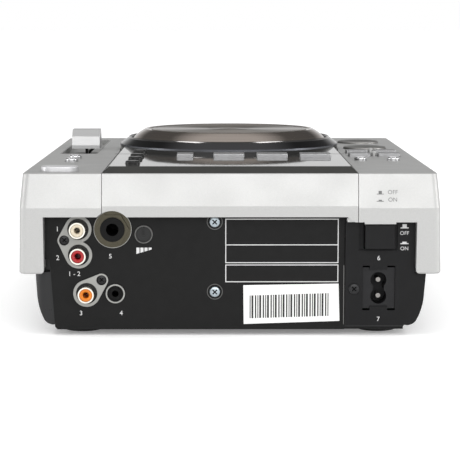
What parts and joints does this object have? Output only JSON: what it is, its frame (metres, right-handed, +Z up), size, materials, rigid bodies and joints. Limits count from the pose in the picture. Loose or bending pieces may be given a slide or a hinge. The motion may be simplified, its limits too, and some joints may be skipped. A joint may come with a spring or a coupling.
{
  "type": "tabletop dj cd player",
  "caption": "Compact tabletop CD player for disc jockeys, with a jog wheel, tempo slider, keys, a front disc slot and rear sockets.",
  "frame": {"origin": "on the table, under the middle of the player", "axes": "+Z up, -Y towards the person playing, +Y towards the sockets, +X to that person's right"},
  "size_m": [0.2178, 0.296, 0.0977],
  "materials": {
    "silver_paint": "silver paint on moulded plastic",
    "black_moulding": "fine-grained moulding",
    "black_steel": "semi-matt paint on sheet steel",
    "panel_gloss": "tinted gloss panel",
    "key_silver": "satin silver plating",
    "key_chrome": "bright plating",
    "key_black": "gloss black",
    "dish_silver": "satin silver with a dished top",
    "jog_metal": "spun gunmetal bronze",
    "jog_ring": "dark polished ring",
    "steel": "ground steel",
    "zinc": "zinc plate",
    "nickel": "nickel plate",
    "brass": "dull brass",
    "cream_plastic": "moulded",
    "socket_plastic": "moulded",
    "socket_black": "moulded",
    "rubber": "moulded",
    "felt": "felt",
    "green_board": "lacquered circuit board",
    "display_glass": "display glass"
  },
  "bodies": {
    "case": {"right_side_cover": "silver_paint", "left_side_cover": "silver_paint", "centre_cover": "silver_paint", "lower_chassis": "black_moulding", "power_panel": "black_moulding", "front_fascia": "black_moulding", "rear_plate": "black_steel", "rubber_feet": "rubber", "dust_curtain": "felt", "display_window": "panel_gloss", "jog_plate": "panel_gloss", "display_module": "display_glass", "jog_surround": "jog_ring", "jog_bearing": "steel", "control_board": "green_board", "main_board": "green_board", "power_board": "green_board", "phono_blocks": "socket_plastic", "phono_shells": "nickel", "phono_insulators": "cream_plastic", "phones_jack": "socket_black", "phones_nut": "brass", "control_jack": "socket_black", "volume_pot": "socket_plastic", "ac_inlet": "socket_black", "ac_pins": "nickel", "tempo_tray": "socket_plastic", "tempo_fader": "zinc", "drive_frame": "zinc", "guide_rails": "steel", "spindle_motor": "steel", "feed_motors": "steel", "case_screws": "zinc"},
    "jog": {"jog_wheel": "jog_metal"},
    "tempo_slider": {"tempo_knob": "key_silver"},
    "volume": {"volume_knob": "key_black"},
    "power_key": {"power_button": "black_moulding"},
    "turntable": {"turntable": "black_moulding"},
    "sled": {"pickup_sled": "black_moulding"},
    "lead_screw": {"lead_screw": "steel"},
    "roller": {"loading_roller": "rubber"},
    "eject_key": {"eject_button": "key_silver"},
    "cue_key": {"cue_button": "dish_silver"},
    "play_key": {"play_button": "dish_silver"},
    "loop_key_1": {"loop_button_1": "key_silver"},
    "loop_key_2": {"loop_button_2": "key_silver"},
    "loop_key_3": {"loop_button_3": "key_silver"},
    "loop_key_4": {"loop_button_4": "key_silver"},
    "search_key_1": {"search_button_1": "key_silver"},
    "search_key_2": {"search_button_2": "key_silver"},
    "search_key_3": {"search_button_3": "key_silver"},
    "search_key_4": {"search_button_4": "key_silver"},
    "mode_key_1": {"mode_button_1": "key_chrome"},
    "mode_key_2": {"mode_button_2": "key_chrome"},
    "range_key_1": {"range_button_1": "key_chrome"},
    "range_key_2": {"range_button_2": "key_chrome"},
    "display_key_1": {"display_button_1": "key_black"},
    "display_key_2": {"display_button_2": "key_black"},
    "display_key_3": {"display_button_3": "key_black"},
    "display_key_4": {"display_button_4": "key_black"}
  },
  "joints": [
    {"name": "jog_spin", "type": "hinge", "parent": "case", "child": "jog", "pos_m": [0, -0.033, 0.09], "axis": [0, 0, 1], "continuous": true},
    {"name": "tempo_slide", "type": "slide", "parent": "case", "child": "tempo_slider", "axis": [0, 1, 0], "range_m": [-0.0685, 0.0315]},
    {"name": "volume_turn", "type": "hinge", "parent": "case", "child": "volume", "pos_m": [0.0447, 0.135, 0.0529], "axis": [0, 1, 0], "range_deg": [-150, 150]},
    {"name": "power_press", "type": "slide", "parent": "case", "child": "power_key", "axis": [0, 1, 0], "range_m": [-0.0035, 0], "stiffness_N_per_m": 300, "springref_m": 0.002},
    {"name": "turntable_spin", "type": "hinge", "parent": "case", "child": "turntable", "pos_m": [0, -0.048, 0.047], "axis": [0, 0, 1], "continuous": true},
    {"name": "roller_spin", "type": "hinge", "parent": "case", "child": "roller", "pos_m": [0, -0.121, 0.0461], "axis": [1, 0, 0], "continuous": true},
    {"name": "lead_screw_spin", "type": "hinge", "parent": "case", "child": "lead_screw", "pos_m": [0.04, -0.022, 0.0435], "axis": [1, 0, 0], "range_deg": [0, 3060]},
    {"name": "sled_slide", "type": "slide", "parent": "case", "child": "sled", "axis": [1, 0, 0], "range_m": [0, 0.034]},
    {"name": "eject_press", "type": "slide", "parent": "case", "child": "eject_key", "axis": [0, 0, 1], "range_m": [-0.001, 0], "stiffness_N_per_m": 400, "springref_m": 0.001},
    {"name": "cue_press", "type": "slide", "parent": "case", "child": "cue_key", "axis": [0, 0, 1], "range_m": [-0.001, 0], "stiffness_N_per_m": 400, "springref_m": 0.001},
    {"name": "play_press", "type": "slide", "parent": "case", "child": "play_key", "axis": [0, 0, 1], "range_m": [-0.001, 0], "stiffness_N_per_m": 400, "springref_m": 0.001},
    {"name": "loop_press_1", "type": "slide", "parent": "case", "child": "loop_key_1", "axis": [0, 0, 1], "range_m": [-0.001, 0], "stiffness_N_per_m": 400, "springref_m": 0.001},
    {"name": "loop_press_2", "type": "slide", "parent": "case", "child": "loop_key_2", "axis": [0, 0, 1], "range_m": [-0.001, 0], "stiffness_N_per_m": 400, "springref_m": 0.001},
    {"name": "loop_press_3", "type": "slide", "parent": "case", "child": "loop_key_3", "axis": [0, 0, 1], "range_m": [-0.001, 0], "stiffness_N_per_m": 400, "springref_m": 0.001},
    {"name": "loop_press_4", "type": "slide", "parent": "case", "child": "loop_key_4", "axis": [0, 0, 1], "range_m": [-0.001, 0], "stiffness_N_per_m": 400, "springref_m": 0.001},
    {"name": "search_press_1", "type": "slide", "parent": "case", "child": "search_key_1", "axis": [0, 0, 1], "range_m": [-0.001, 0], "stiffness_N_per_m": 400, "springref_m": 0.001},
    {"name": "search_press_2", "type": "slide", "parent": "case", "child": "search_key_2", "axis": [0, 0, 1], "range_m": [-0.001, 0], "stiffness_N_per_m": 400, "springref_m": 0.001},
    {"name": "search_press_3", "type": "slide", "parent": "case", "child": "search_key_3", "axis": [0, 0, 1], "range_m": [-0.001, 0], "stiffness_N_per_m": 400, "springref_m": 0.001},
    {"name": "search_press_4", "type": "slide", "parent": "case", "child": "search_key_4", "axis": [0, 0, 1], "range_m": [-0.001, 0], "stiffness_N_per_m": 400, "springref_m": 0.001},
    {"name": "mode_press_1", "type": "slide", "parent": "case", "child": "mode_key_1", "axis": [0, 0, 1], "range_m": [-0.001, 0], "stiffness_N_per_m": 400, "springref_m": 0.001},
    {"name": "mode_press_2", "type": "slide", "parent": "case", "child": "mode_key_2", "axis": [0, 0, 1], "range_m": [-0.001, 0], "stiffness_N_per_m": 400, "springref_m": 0.001},
    {"name": "range_press_1", "type": "slide", "parent": "case", "child": "range_key_1", "axis": [0, 0, 1], "range_m": [-0.001, 0], "stiffness_N_per_m": 400, "springref_m": 0.001},
    {"name": "range_press_2", "type": "slide", "parent": "case", "child": "range_key_2", "axis": [0, 0, 1], "range_m": [-0.001, 0], "stiffness_N_per_m": 400, "springref_m": 0.001},
    {"name": "display_press_1", "type": "slide", "parent": "case", "child": "display_key_1", "axis": [0, 0, 1], "range_m": [-0.001, 0], "stiffness_N_per_m": 400, "springref_m": 0.001},
    {"name": "display_press_2", "type": "slide", "parent": "case", "child": "display_key_2", "axis": [0, 0, 1], "range_m": [-0.001, 0], "stiffness_N_per_m": 400, "springref_m": 0.001},
    {"name": "display_press_3", "type": "slide", "parent": "case", "child": "display_key_3", "axis": [0, 0, 1], "range_m": [-0.001, 0], "stiffness_N_per_m": 400, "springref_m": 0.001},
    {"name": "display_press_4", "type": "slide", "parent": "case", "child": "display_key_4", "axis": [0, 0, 1], "range_m": [-0.001, 0], "stiffness_N_per_m": 400, "springref_m": 0.001}
  ],
  "couplings": [
    {"joint": "lead_screw_spin", "follows": "sled_slide", "rad_per_m": 1570.8}
  ]
}
